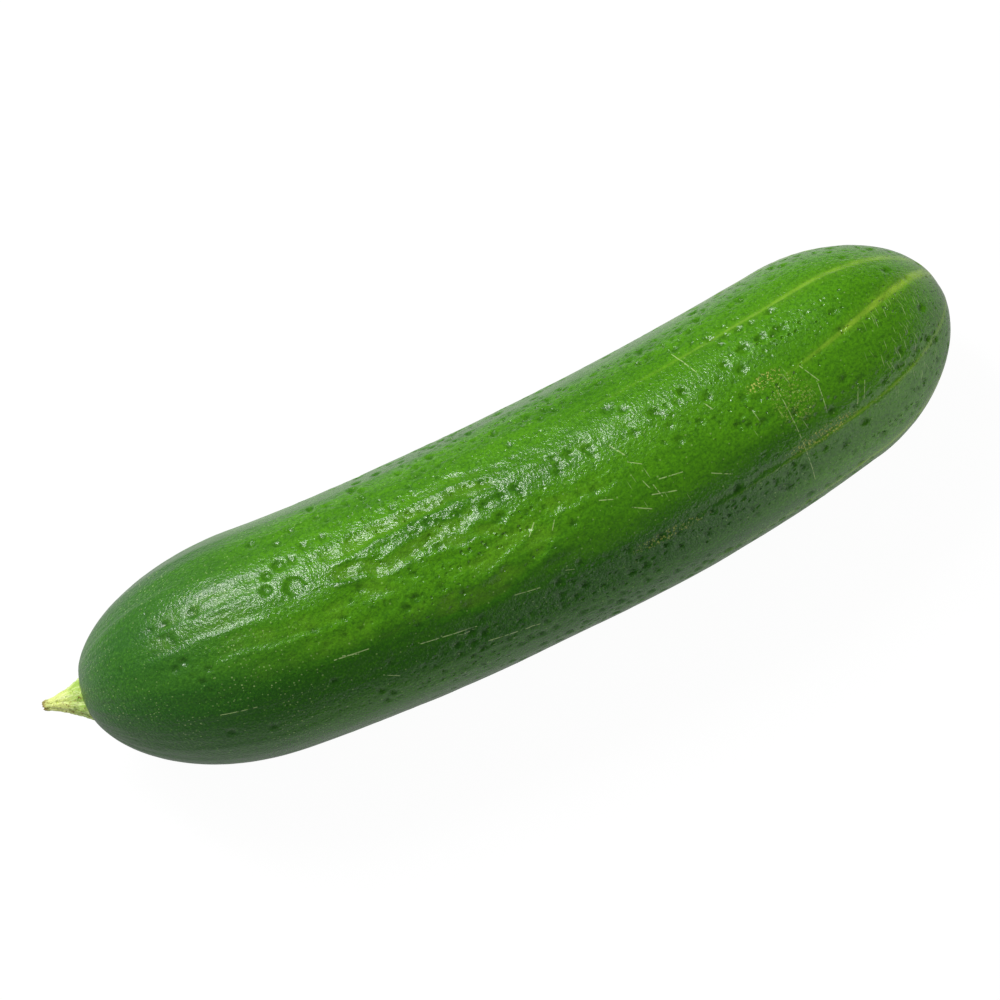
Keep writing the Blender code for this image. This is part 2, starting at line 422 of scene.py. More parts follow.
def bow_at(x):
    """Sideways offset of the spine: a Catmull-Rom curve through the bow's points."""
    points = [Vector(point) * MM for point in BOW]
    points = [points[0] * 2 - points[1]] + points + [points[-1] * 2 - points[-2]]
    span = 1
    while span < len(points) - 3 and x > points[span + 1].x:
        span += 1
    start, end = points[span], points[span + 1]
    width = end.x - start.x
    slope_in = (end.y - points[span - 1].y) / (end.x - points[span - 1].x)
    slope_out = (points[span + 2].y - start.y) / (points[span + 2].x - start.x)
    t = (x - start.x) / width
    rise = start.y * (2 * t**3 - 3 * t**2 + 1) + end.y * (3 * t**2 - 2 * t**3)
    bend = slope_in * (t**3 - 2 * t**2 + t) + slope_out * (t**3 - t**2)
    return rise + bend * width


def body_radius(x):
    thinning = STEM_SIDE_THINNING if x < FULLEST_X else BLOSSOM_SIDE_THINNING
    return FULLEST_RADIUS - thinning * (x - FULLEST_X) ** 2


def cap_share(x):
    """Share of the body radius that the elliptical caps leave at x."""
    into_stem = max(0.0, 1 - (x - STEM_POLE_X) / STEM_CAP_LENGTH)
    into_blossom = max(0.0, 1 - (BLOSSOM_POLE_X - x) / BLOSSOM_CAP_LENGTH)
    return math.sqrt(max(0.0, 1 - max(into_stem, into_blossom) ** 2))


def centre_at(x):
    sinking = max(0.0, (DROOP_START_X - x) / (DROOP_START_X - STEM_POLE_X))
    height = body_radius(x) * (1 - LOBE_DEPTH) - BELLY_DEPTH - DROOP * sinking**2
    return Vector((x, bow_at(x), height))


def section_at(x):
    """Centre, heading and radius of the section at x."""
    step = 0.5 * MM
    heading = (centre_at(x + step) - centre_at(x - step)).normalized()
    return centre_at(x), heading, body_radius(x) * cap_share(x)


def section_axes(heading):
    sideways = Vector((0, 0, 1)).cross(heading).normalized()
    return sideways, heading.cross(sideways)


def section_shape(angle, share):
    """How far a section stands out at an angle, as a share of its radius."""
    lobes = LOBE_DEPTH * math.cos(LOBES * angle)
    ribs = -RIB_DEPTH * math.cos(RIBS * (angle - math.radians(RIB_LINE_ANGLE)))
    return 1 + share * (lobes + ribs)


def spine_rows(count):
    """X of each ring, evenly spaced over the skin from pole to pole, and the skin's length."""
    steps = SPINE_STEPS
    length = BLOSSOM_POLE_X - STEM_POLE_X
    # Cosine spacing follows the steep skin at the poles.
    places = [STEM_POLE_X + length * (1 - math.cos(math.pi * i / steps)) / 2 for i in range(steps + 1)]
    radii = [body_radius(x) * cap_share(x) for x in places]
    travelled = [0.0]
    for i in range(steps):
        travelled.append(travelled[-1] + math.hypot(places[i + 1] - places[i], radii[i + 1] - radii[i]))
    rows, i = [], 0
    for row in range(count):
        wanted = travelled[-1] * row / (count - 1)
        while i < steps - 1 and travelled[i + 1] < wanted:
            i += 1
        share = (wanted - travelled[i]) / (travelled[i + 1] - travelled[i])
        rows.append(places[i] + (places[i + 1] - places[i]) * share)
    return rows, travelled[-1]


def frame_offset():
    """From the body's own middle to the frame: the boxes of the two bodies share their centre."""
    low, high = Vector((1, 1, 1)), Vector((-1, -1, -1))
    rows, _ = spine_rows(BOX_ROWS)
    for x in rows:
        centre, heading, radius = section_at(x)
        smallest = STEM_SEAT_RADIUS if x < 0 else SCAR_RADIUS
        if radius < smallest:
            continue
        sideways, upwards = section_axes(heading)
        for step in range(BOX_SIDES):
            angle = 2 * math.pi * step / BOX_SIDES
            reach = radius * section_shape(angle, cap_share(x))
            point = centre + (upwards * math.cos(angle) - sideways * math.sin(angle)) * reach
            low = Vector(map(min, low, point))
            high = Vector(map(max, high, point))
    box_low, box_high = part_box("fruit")
    shift = (Vector(box_low) + Vector(box_high) - low - high) / 2
    shift.z = 0.0
    return shift


OFFSET = frame_offset()
SKIN_ROWS, SKIN_LENGTH = spine_rows(LOOKUP_ROWS)


def skin_place(along, around):
    """The point on the smooth skin at (mm along, degrees around), and its outward normal."""

    def point_at(row, angle):
        row = min(max(row, 0.0), len(SKIN_ROWS) - 1.0)
        first = min(int(row), len(SKIN_ROWS) - 2)
        x = SKIN_ROWS[first] + (SKIN_ROWS[first + 1] - SKIN_ROWS[first]) * (row - first)
        centre, heading, radius = section_at(x)
        sideways, upwards = section_axes(heading)
        reach = radius * section_shape(angle, cap_share(x))
        return centre + (upwards * math.cos(angle) - sideways * math.sin(angle)) * reach + OFFSET

    row = along * MM / SKIN_LENGTH * (len(SKIN_ROWS) - 1)
    angle = math.radians(around)
    point = point_at(row, angle)
    lengthwise = point_at(row + 1, angle) - point_at(row - 1, angle)
    crosswise = point_at(row, angle + 0.01) - point_at(row, angle - 0.01)
    return point, crosswise.cross(lengthwise).normalized()


# ---------------------------------------------------------------------------------
# The fruit's two trees


def sweep_tree(material):
    """Rings of skin round the spine, as a closed mesh with its map and its place on the skin."""
    tree, given = new_tree("swept body", {
        "Rings": 361,
        "Sides": 270,
        "Lobe Depth": LOBE_DEPTH,
        "Rib Depth": RIB_DEPTH,
        "Rib Line Angle": math.radians(RIB_LINE_ANGLE),
        "Map Margin": MAP_MARGIN,
    })
    spine = given["Geometry"]
    grid = add_node(tree, "GeometryNodeMeshGrid", {
        "Size X": 1.0, "Size Y": 1.0, "Vertices X": given["Rings"], "Vertices Y": given["Sides"] + 1,
    })
    across, round_belly, _ = parts_of(position(tree))
    along = across + 0.5
    around = round_belly * (2 * math.pi)
    row = (along * (given["Rings"] - 1)).maths("ROUND")

    centre = sampled(tree, spine, position(tree), row, "FLOAT_VECTOR")
    heading = sampled(tree, spine, attribute(tree, "heading", "FLOAT_VECTOR"), row, "FLOAT_VECTOR")
    radius = sampled(tree, spine, attribute(tree, "radius"), row)
    share = sampled(tree, spine, attribute(tree, "share"), row)
    sideways = vector(tree, 0.0, 0.0, 1.0).vector_maths("CROSS_PRODUCT", heading).vector_maths("NORMALIZE")
    upwards = heading.vector_maths("CROSS_PRODUCT", sideways)
    lobes = (around * LOBES).cosine() * given["Lobe Depth"]
    ribs = ((around - given["Rib Line Angle"]) * RIBS).cosine() * given["Rib Depth"]
    reach = radius * (share * (lobes - ribs) + 1.0)
    out_sideways = scaled(sideways, around.sine() * reach)
    spoke = scaled(upwards, around.cosine() * reach).vector_maths("SUBTRACT", out_sideways)

    map_u, map_v, _ = parts_of(Field(tree, grid.outputs["UV Map"]))
    margin = given["Map Margin"]
    inset = 1.0 - margin * 2.0
    skin_map = vector(tree, map_v * inset + margin, map_u * inset + margin, 0.0)
    made = stored(tree, grid.outputs["Mesh"], "OFBake", skin_map, "FLOAT2", "CORNER")
    made = stored(tree, made, "along", along)
    made = stored(tree, made, "around", around)
    made = stored(tree, made, "reach", reach / MM)
    on_skin = centre.vector_maths("ADD", spoke)
    swept = add_node(tree, "GeometryNodeSetPosition", {"Geometry": made, "Position": on_skin})
    seam = {"Geometry": swept.outputs[0], "Distance": 0.01 * MM}
    closed = add_node(tree, "GeometryNodeMergeByDistance", seam)
    end_tree(tree, closed.outputs[0], material)
    return tree


def dome(q):
    """Falls smoothly from 1 at q = 0 to 0 at q = 1 and beyond."""
    return (1.0 - (q * q).at_most(1.0)) ** 2.0


def plateau(q, start):
    """Stays at 1 up to the start, for q of either sign, then falls smoothly to 0 at q = 1."""
    return 1.0 - q.size().between(start, 1.0)


def wart_shape(gap, radius, height, pit):
    """A dome, blunter when broad, with a faint crease round its foot and, for some, a pit on top."""
    q = gap / radius
    blunt = number(q.tree, radius).between(1.7 * MM, 2.6 * MM)
    body = dome(q) * (1.0 - blunt) + plateau(q, 0.5) * blunt
    crease = dome((q - 1.1) / 0.35) * (blunt * 0.04 + 0.05)
    return (body - crease - dome(q / 0.5) * pit * 0.7) * height


class SkinPoint:
    """Fields that say where each point of the swept body is on the skin."""

    def __init__(self, tree, length):
        self.tree = tree
        self.place = position(tree)
        self.along = attribute(tree, "along") * length / MM
        self.around = attribute(tree, "around")
        self.to_tip = SKIN_LENGTH / MM - self.along
        self.fade = self.along.between(2.0, 14.0) * self.to_tip.between(1.0, 10.0)
        self.ring_x = self.around.cosine() * MEAN_RADIUS
        self.ring_y = self.around.sine() * MEAN_RADIUS
        # Keeps the feet of warts and folds from being perfect circles and lines.
        self.wobble = self.swing(1.5, 1.0) * (0.8 * MM)

    def noise(self, size, detail=2.0, roughness=0.5, stretch=1.0, shift=0.0, sway=(0.0, 0.0)):
        """Noise about 0.5 in features of this size in mm. A low stretch draws them out lengthwise."""
        x, y = self.ring_x + sway[0], self.ring_y + sway[1]
        return noise(vector(self.tree, x, y, self.along * stretch + shift), size, detail, roughness)

    def swing(self, *values, **settings):
        """The same noise, about 0."""
        return self.noise(*values, **settings) - 0.5


def uneven_height(skin, given):
    """Broad lumps, lengthwise flutes and crumpled skin. Returns their height, and the crinkles
    and creases by themselves, which the folds use."""
    lumps = skin.swing(30.0)
    dents = skin.swing(7.5, 2.0, 0.45, stretch=0.7, shift=20.0)
    # The flutes die out past the middle, and the skin is crumpled round the middle of the top.
    flutes = skin.swing(5.5, 2.0, 0.45, stretch=0.09, shift=40.0)
    stem_half = 1.0 - skin.along.between(90.0, 165.0) * 0.8
    crumpled = skin.along.between(52.0, 78.0) * (1.0 - skin.along.between(104.0, 140.0))
    crumpled = crumpled * (skin.around - 0.05).cosine().between(0.62, 0.92)
    waver = skin.swing(9.0, 1.0, shift=90.0) * 5.0
    creases = skin.swing(4.0, stretch=0.35, sway=(waver, waver))
    wrinkles = (0.35 - creases.size() * 2.6) * given["Wrinkle Height"]
    crinkles = skin.swing(2.0, 1.0, stretch=0.6, sway=(waver, 0.0))

    height = lumps * given["Lump Height"] * 2.0
    height = height + dents * given["Lump Height"] * (crumpled * 1.1 + 0.3) * skin.fade
    height = height + crinkles * given["Wrinkle Height"] * (crumpled + 0.2) * skin.fade
    height = height + flutes * given["Flute Height"] * 2.0 * stem_half * skin.fade
    height = height + wrinkles * (crumpled * 0.85 + 0.1) * skin.fade
    return height, crinkles, wrinkles * crumpled


def wart_crowding(skin):
    """Where small warts stand, in loose rows along the skin: dense low on both sides of the
    blossom half and in a belt past the middle of the top, sparse elsewhere."""
    low_side = skin.around.size()
    flank = low_side.between(0.5, 0.85) * (1.0 - low_side.between(1.5, 2.1) * 0.6)
    flank = flank * skin.along.between(50.0, 110.0) * (1.0 - skin.along.between(185.0, 205.0))
    belt = skin.along.between(92.0, 112.0) * (1.0 - skin.along.between(140.0, 160.0))
    belt = belt * (skin.around + 0.1).cosine().between(0.9, 0.98)
    rows = skin.noise(8.0, stretch=0.2, shift=11.0)
    crowding = flank.at_least(belt) + 0.35 * skin.along.between(30.0, 90.0)
    return crowding * rows.between(0.36, 0.58) * skin.fade


def seeded_warts(skin, given):
    """The height of the small warts, each raised round the nearest seeded point."""
    tree = skin.tree
    scatter = add_node(tree, "GeometryNodeDistributePointsOnFaces", {
        "Mesh": given["Geometry"], "Distance Min": given["Wart Spacing"],
        "Density Max": MOST_WARTS_PER_SQUARE_METRE, "Density Factor": wart_crowding(skin),
        "Seed": given["Seed"],
    }, distribute_method="POISSON")
    points = scatter.outputs["Points"]
    nearest = nearest_point(tree, points)
    draw = add_node(tree, "FunctionNodeRandomValue", None, data_type="FLOAT")
    draw.inputs["Seed"].default_value = WART_SIZE_SEED
    size_draw = Field(tree, draw.outputs[1])
    size = sampled(tree, points, size_draw, nearest) ** 2.0 * 0.75 + 0.55
    gap = skin.place.distance_to(sampled(tree, points, position(tree), nearest, "FLOAT_VECTOR"))
    return wart_shape(gap + skin.wobble, size * given["Wart Radius"], size * given["Wart Height"], 0.0)


def with_hand_placed_warts(skin, given):
    """The body with the listed warts' height stored as "raised". They are added one
    after the other, so that they may crowd together."""
    tree = skin.tree
    places = add_node(tree, "GeometryNodeObjectInfo", {"Object": given["Hand Placed Warts"]})
    places = places.outputs["Geometry"]
    tally = add_node(tree, "GeometryNodeAttributeDomainSize", {"Geometry": places}, component="MESH")
    repeat_in = tree.nodes.new("GeometryNodeRepeatInput")
    repeat_out = tree.nodes.new("GeometryNodeRepeatOutput")
    repeat_in.pair_with_output(repeat_out)
    repeat_out.repeat_items.clear()
    repeat_out.repeat_items.new("GEOMETRY", "Skin")
    plug(tree, repeat_in.inputs["Iterations"], tally.outputs["Point Count"])
    plug(tree, repeat_in.inputs["Skin"], given["Geometry"])
    turn = Field(tree, repeat_in.outputs["Iteration"])
    gap = skin.place.distance_to(sampled(tree, places, position(tree), turn, "FLOAT_VECTOR"))
    radius, height, pit = [
        sampled(tree, places, attribute(tree, name), turn) for name in ("radius", "height", "pit")
    ]
    wart = wart_shape(gap + skin.wobble * 0.7, radius, height, pit)
    joined = attribute(tree, "raised").at_least(wart) + wart.at_most(0.0)
    plug(tree, repeat_out.inputs["Skin"], stored(tree, repeat_in.outputs["Skin"], "raised", joined))
    return repeat_out.outputs["Skin"]


def fold_height(skin, given, crinkles):
    """The folds' height: each skin point finds the nearest point of a fold, and its side of it."""
    tree = skin.tree
    folds = add_node(tree, "GeometryNodeObjectInfo", {"Object": given["Folds"]}).outputs["Geometry"]
    nearest = nearest_point(tree, folds)
    width, height, turn = [
        sampled(tree, folds, attribute(tree, name), nearest) for name in ("radius", "height", "pit")
    ]
    gap = skin.place.distance_to(sampled(tree, folds, position(tree), nearest, "FLOAT_VECTOR"))
    across = (gap + skin.wobble * 0.5) / width * (skin.around - turn).maths("SIGN")
    fold = plateau(across, 0.45) - dome((across - 1.15) / 0.6) * 0.45
    return fold * height * (crinkles * 1.3 + 1.0)


def end_height(skin):
    """The blossom scar, a low rim with a hollow in it, and a low collar round the stem."""
    scar = (dome((skin.to_tip - 2.9) / 1.3) * 0.35 - dome(skin.to_tip / 2.4) * 0.5) * MM
    return scar + dome((skin.along - 4.6) / 2.2) * (0.28 * MM)


def relief_tree(material):
    """Lumps, flutes, wrinkles, folds and warts raised on the swept body."""
    tree, given = new_tree("skin relief", {
        "Hand Placed Warts": "NodeSocketObject",
        "Folds": "NodeSocketObject",
        "Length": SKIN_LENGTH,
        "Lump Height": 0.3 * MM,
        "Flute Height": 0.4 * MM,
        "Wrinkle Height": 0.4 * MM,
        "Wart Spacing": 2.3 * MM,
        "Wart Radius": 1.0 * MM,
        "Wart Height": 0.5 * MM,
        "Seed": 7,
    })
    skin = SkinPoint(tree, given["Length"])
    uneven, crinkles, crumpled_creases = uneven_height(skin, given)
    small_warts = seeded_warts(skin, given)
    body = with_hand_placed_warts(skin, given)
    fold = fold_height(skin, given, crinkles)
    warts = attribute(tree, "raised") + small_warts
    height = uneven + warts + fold + end_height(skin)
    normal = Field(tree, tree.nodes.new("GeometryNodeInputNormal").outputs[0])
    moved = add_node(tree, "GeometryNodeSetPosition", {"Geometry": body, "Offset": scaled(normal, height)})
    # The belly lies on the surface: what would reach below it is pressed flat.
    x, y, z = parts_of(position(tree))
    pressed = add_node(tree, "GeometryNodeSetPosition", {
        "Geometry": moved.outputs[0], "Position": vector(tree, x, y, z.at_least(0.0)),
    })
    marked = stored(tree, pressed.outputs[0], "wart", warts / MM)
    marked = stored(tree, marked, "fold", (fold + crumpled_creases) / MM)
    end_tree(tree, marked, material)
    return tree


def point_cloud(name, places):
    """A mesh of loose points for a tree to read: (place, radius, height, pit or turn) each."""
    mesh = bpy.data.meshes.new(name)
    mesh.from_pydata([place for place, *_ in places], [], [])
    for column, label in enumerate(("radius", "height", "pit"), start=1):
        values = mesh.attributes.new(label, "FLOAT", "POINT").data
        values.foreach_set("value", [entry[column] for entry in places])
    cloud = bpy.data.objects.new(name, mesh)
    bpy.context.scene.collection.objects.link(cloud)
    return cloud


def wart_points(raised):
    """The listed warts, all raised or lowered by one share."""
    places = []
    for along, around, radius, height, pit in WARTS:
        places.append((skin_place(along, around)[0], radius * MM, height * raised * MM, pit))
    return point_cloud("wart places", places)


def fold_points():
    """Close points along each fold, lower towards its ends and wherever it is uneven."""
    places = []
    for row, (half_width, height, uneven, path) in enumerate(FOLDS):
        knots = [Vector(knot) for knot in path]
        knots = [knots[0] * 2 - knots[1]] + knots + [knots[-1] * 2 - knots[-2]]
        spans = len(path) - 1
        for span in range(spans):
            before, start, end, after = knots[span:span + 4]
            run = math.hypot(end.x - start.x, (end.y - start.y) * MM_PER_DEGREE)
            steps = max(2, int(run / FOLD_POINT_SPACING))
            for step in range(steps):
                t = step / steps
                bend = (end - before) * (t**3 - 2 * t**2 + t) + (after - start) * (t**3 - t**2)
                spot = start * (2 * t**3 - 3 * t**2 + 1) + end * (3 * t**2 - 2 * t**3) + bend * 0.5
                share = (span + t) / spans
                ends = min(1.0, share / 0.2, (1 - share) / 0.2)
                bead = steady_noise.noise(Vector((spot.x / 2.6, row * 7.3, 0.5)))
                spot.y += uneven * 3.0 * steady_noise.noise(Vector((spot.x / 4.0, row * 3.1, 9.5)))
                tall = height * ends * (1 + uneven * 1.1 * bead)
                here = skin_place(spot.x, spot.y)[0]
                places.append((here, half_width * MM, tall * MM, math.radians(spot.y)))
    return point_cloud("fold places", places)


def spine_host(rings):
    """The spine as loose points, one for each ring of skin."""
    rows, _ = spine_rows(rings)
    sections = [section_at(x) for x in rows]
    mesh = bpy.data.meshes.new("spine")
    mesh.from_pydata([centre + OFFSET for centre, _, _ in sections], [], [])
    headings = mesh.attributes.new("heading", "FLOAT_VECTOR", "POINT")
    headings.data.foreach_set("vector", [part for _, heading, _ in sections for part in heading])
    radii = mesh.attributes.new("radius", "FLOAT", "POINT")
    radii.data.foreach_set("value", [radius for _, _, radius in sections])
    shares = mesh.attributes.new("share", "FLOAT", "POINT")
    shares.data.foreach_set("value", [cap_share(x) for x in rows])
    host = bpy.data.objects.new("spine", mesh)
    bpy.context.scene.collection.objects.link(host)
    return host


# ---------------------------------------------------------------------------------
# Materials


def new_material(name):
    material = bpy.data.materials.new(name)
    material.use_nodes = True
    tree = material.node_tree
    return material, tree, tree.nodes["Principled BSDF"]


def blend_colour(tree, share, first, second):
    node = add_node(tree, "ShaderNodeMix", None, data_type="RGBA")
    for index, value in ((0, share), (6, first), (7, second)):
        plug(tree, node.inputs[index], value)
    return Field(tree, node.outputs[2])


def coated(tree, colour, *coats):
    """The colour with each coat, its share and then its colour, laid over it in turn."""
    for share, coat in coats:
        colour = blend_colour(tree, share, colour, tuple(coat))
    return colour


def add_bump(tree, strength, distance, height):
    return add_node(tree, "ShaderNodeBump", {
        "Strength": strength, "Distance": distance, "Height": height,
    }).outputs[0]


def own_map(tree):
    """The two fields of the piece's own map."""
    uv = add_node(tree, "ShaderNodeUVMap", None, uv_map="OFBake")
    return parts_of(Field(tree, uv.outputs[0]))[:2]


def object_place(tree):
    """The shaded point's place on the object, in mm."""
    place = add_node(tree, "ShaderNodeTexCoord").outputs["Object"]
    return scaled(Field(tree, place), 1 / MM)


def new_group(name, sockets, output):
    """An empty shader group with its inputs as fields. Close it with end_group."""
    tree = bpy.data.node_groups.new(name, "ShaderNodeTree")
    values = tree_inputs(tree, sockets)
    tree.interface.new_socket(output, in_out="OUTPUT", socket_type="NodeSocketFloat")
    return tree, values


def end_group(tree, value):
    tree.links.new(value.socket, tree.nodes.new("NodeGroupOutput").inputs[0])
    return tree


def use_group(tree, group, inputs):
    return Field(tree, add_node(tree, "ShaderNodeGroup", inputs, node_tree=group).outputs[0])


def scratch_group():
    """How strongly a thin straight mark between two places shows."""
    tree, given = new_group("scratch", {
        "Place": "NodeSocketVector",
        "Start": "NodeSocketVector",
        "End": "NodeSocketVector",
        "Half Width": 0.12,
    }, "Mark")
    run = given["End"].vector_maths("SUBTRACT", given["Start"])
    offset = given["Place"].vector_maths("SUBTRACT", given["Start"])
    length_squared = run.vector_maths("DOT_PRODUCT", run, output=1)
    share = offset.vector_maths("DOT_PRODUCT", run, output=1) / length_squared
    gap = offset.distance_to(scaled(run, share.at_least(0.0).at_most(1.0)))
    return end_group(tree, 1.0 - (gap / given["Half Width"]).between(0.35, 1.0))


def pale_line_group():
    """How strongly a pale line shows: it fades in along the skin and leans towards its end."""
    tree, given = new_group("pale line", {
        "Along": 0.0,
        "Around": 0.0,
        "Reach": 23.0,
        "Middle": 0.0,
        "Lean": 0.0,
        "Start": 120.0,
        "Half Width": 1.0,
    }, "Line")
    past = ((given["Along"] - given["Start"]) / (200.0 - given["Start"])).at_least(0.0)
    middle = given["Middle"] + given["Lean"] * past * past
    turn = (given["Around"] - middle) * math.radians(1)
    facing = turn.cosine().between(0.0, 0.2)
    width = given["Half Width"] * (past * past * 0.9 + 0.4).at_most(1.3)
    gap = (turn.sine() * given["Reach"]).size() / width
    core = 1.0 - gap.between(0.25, 1.0)
    glow = 1.0 - gap.between(0.3, 3.2)
    return end_group(tree, (core * 0.7 + glow * 0.2) * past.between(0.0, 0.75) * facing)


def dots(place, spacing, radius, share, core=0.5):
    """Small round dots: a share of the cells of the given spacing hold one, solid to its core."""
    inputs = {"Vector": place, "Scale": 1 / spacing, "Randomness": 0.9}
    cells = add_node(place.tree, "ShaderNodeTexVoronoi", inputs, voronoi_dimensions="2D")
    gap = Field(place.tree, cells.outputs["Distance"]) * spacing
    draw, size, _ = parts_of(Field(place.tree, cells.outputs["Color"]))
    dot = 1.0 - (gap / ((size * 0.6 + 0.5) * radius)).between(core, 1.0)
    return dot * draw.maths("LESS_THAN", share)


class SkinMap:
    """Fields that say where a shaded point of the skin is: mm and degrees over the skin, mm in
    space, and the relief that the trees raised there."""

    def __init__(self, tree):
        self.tree = tree
        self.spot = object_place(tree)
        u, v = own_map(tree)
        inset = 1 - 2 * MAP_MARGIN
        self.around = (u - 0.5) * (360 / inset)
        self.along = (v - MAP_MARGIN) * (SKIN_LENGTH / MM / inset)
        self.around_mm = self.around * MM_PER_DEGREE
        self.angle = self.around * math.radians(1)
        self.flat = vector(tree, self.along, self.around_mm, 0.0)
        self.wart, self.fold, self.reach = [
            Field(tree, add_node(tree, "ShaderNodeAttribute", None, attribute_name=name).outputs["Fac"])
            for name in ("wart", "fold", "reach")
        ]

    def streaks(self, size, stretch, shift, detail=3.0):
        """Noise in features of this size in mm, drawn out lengthwise by a low stretch."""
        x, y = self.angle.cosine() * MEAN_RADIUS, self.angle.sine() * MEAN_RADIUS
        return noise(vector(self.tree, x, y, self.along * stretch + shift), size, detail, 0.55)

    def patch(self, along, around_mm, half_length, half_width):
        """Fades from 1 inside an ellipse on the skin to 0 outside it."""
        x = (self.along - along) / half_length
        y = (self.around_mm - around_mm) / half_width
        return 1.0 - (x * x + y * y).between(0.45, 1.25)

    def rubs(self, slant, stretch, spacing, share):
        """Short parallel strokes that run nearly round the skin."""
        leaned_along = (self.along + self.around_mm * slant) * stretch
        leaned_around = (self.around_mm - self.along * slant) * 0.1
        return dots(vector(self.tree, leaned_along, leaned_around, 0.0), spacing, 0.17, share)


def either(fields):
    """The strongest of several marks."""
    result = fields[0]
    for field in fields[1:]:
        result = result.at_least(field)
    return result


def pale_lines(skin):
    """The pale lines that run to the blossom end, 0 to 1."""
    group = pale_line_group()
    lines = either([
        use_group(skin.tree, group, {
            "Along": skin.along, "Around": skin.around, "Reach": skin.reach, "Middle": middle,
            "Lean": lean, "Start": start, "Half Width": half_width,
        }) * strength
        for middle, lean, start, half_width, strength in PALE_LINES
    ])
    return lines * noise(skin.flat, 3.2).spread(0.3, 0.62, 0.55, 1.0)


def scratches_and_rubs(skin):
    """Single healed scratches, and the short rubs that cross the blossom half, 0 to 1."""
    group = scratch_group()
    scratches = either([
        use_group(skin.tree, group, {
            "Place": skin.flat, "Start": (along, around * MM_PER_DEGREE, 0.0),
            "End": (end_along, end_around * MM_PER_DEGREE, 0.0), "Half Width": half_width,
        })
        for along, around, end_along, end_around, half_width in SCRATCHES
    ]) * noise(skin.flat, 0.9, 1.0).between(0.34, 0.5)
    shoulder, further = [
        either([skin.patch(*place) * strength for *place, strength in areas])
        for areas in (SHOULDER_RUBS, FURTHER_RUBS)
    ]
    combed = skin.rubs(0.22, 1.7, 0.9, 0.5) * shoulder
    combed = combed + skin.rubs(-0.1, 1.6, 1.1, 0.3) * (shoulder * 0.6 + further)
    return scratches.at_least(combed * 0.85)


def cork_crumbs(skin):
    """The rubbed patches' corky crumbs, 0 to 1."""
    crumbs = dots(skin.flat, 0.7, 0.26, 0.5)
    crumbs = crumbs.at_least(noise(skin.spot, 0.45, 2.0, 0.7).between(0.57, 0.63))
    return either([
        skin.patch(along, around * MM_PER_DEGREE, half_length, half_width) * strength
        for along, around, half_length, half_width, strength in CORK_PATCHES
    ]) * crumbs


def speckles(skin):
    """Fine pale speckles, thickest on the stem side, 0 to 1."""
    stem_side = 1.0 - skin.along.between(30.0, 85.0)
    dust = dots(skin.flat, 1.0, 0.2, 0.35) * stem_side * noise(skin.spot, 12.0).between(0.42, 0.62)
    return dust.at_least(dots(skin.flat, 2.1, 0.22, 0.3) * 0.5) * skin.along.between(4.0, 9.0)


def freshness_and_lit_side(skin, stem_end):
    """From 0, the darker green, to 1, the lighter and yellower one: long streaks, a light band
    on the top side towards the lamps, partly the skin's own and partly painted light, darker
    towards the stem."""
    long_streaks = skin.streaks(7.0, 0.09, 0.0).between(0.34, 0.68)
    clouds = noise(skin.spot, 9.0, 3.0, 0.6).between(0.3, 0.75)
    waver = (skin.streaks(9.0, 0.3, 5.0, 1.0) - 0.5) * 0.5
    # Painted light: the top side, which faces the lamps, is painted lighter and yellower over the skin's own
    # paler band, and past the blossom end over most of the upper side.
    pale_band_and_painted_light = (skin.angle + waver * 0.7 + math.radians(34)).cosine().between(0.3, 0.54)
    pale_end_and_painted_light = skin.along.between(140.0, 180.0) * (skin.angle - 0.3).cosine().between(-0.2, 0.5)
    pale_band_and_painted_light = pale_band_and_painted_light.at_least(pale_end_and_painted_light * 0.85)
    patches = skin.streaks(15.0, 0.05, 70.0, 2.0).between(0.45, 0.62) * (1.0 - pale_band_and_painted_light)
    blossom_end = skin.along.between(110.0, 195.0)
    fresh_and_lit_share = (long_streaks * 0.38 + clouds * 0.14 + blossom_end * 0.22) * (pale_band_and_painted_light * 0.65 + 0.35)
    fresh_and_lit_share = fresh_and_lit_share + pale_band_and_painted_light * 0.42 + patches * 0.2 + blossom_end * (1.0 - pale_band_and_painted_light) * 0.16
    return (fresh_and_lit_share - stem_end * 0.45).at_least(0.0).at_most(1.0)


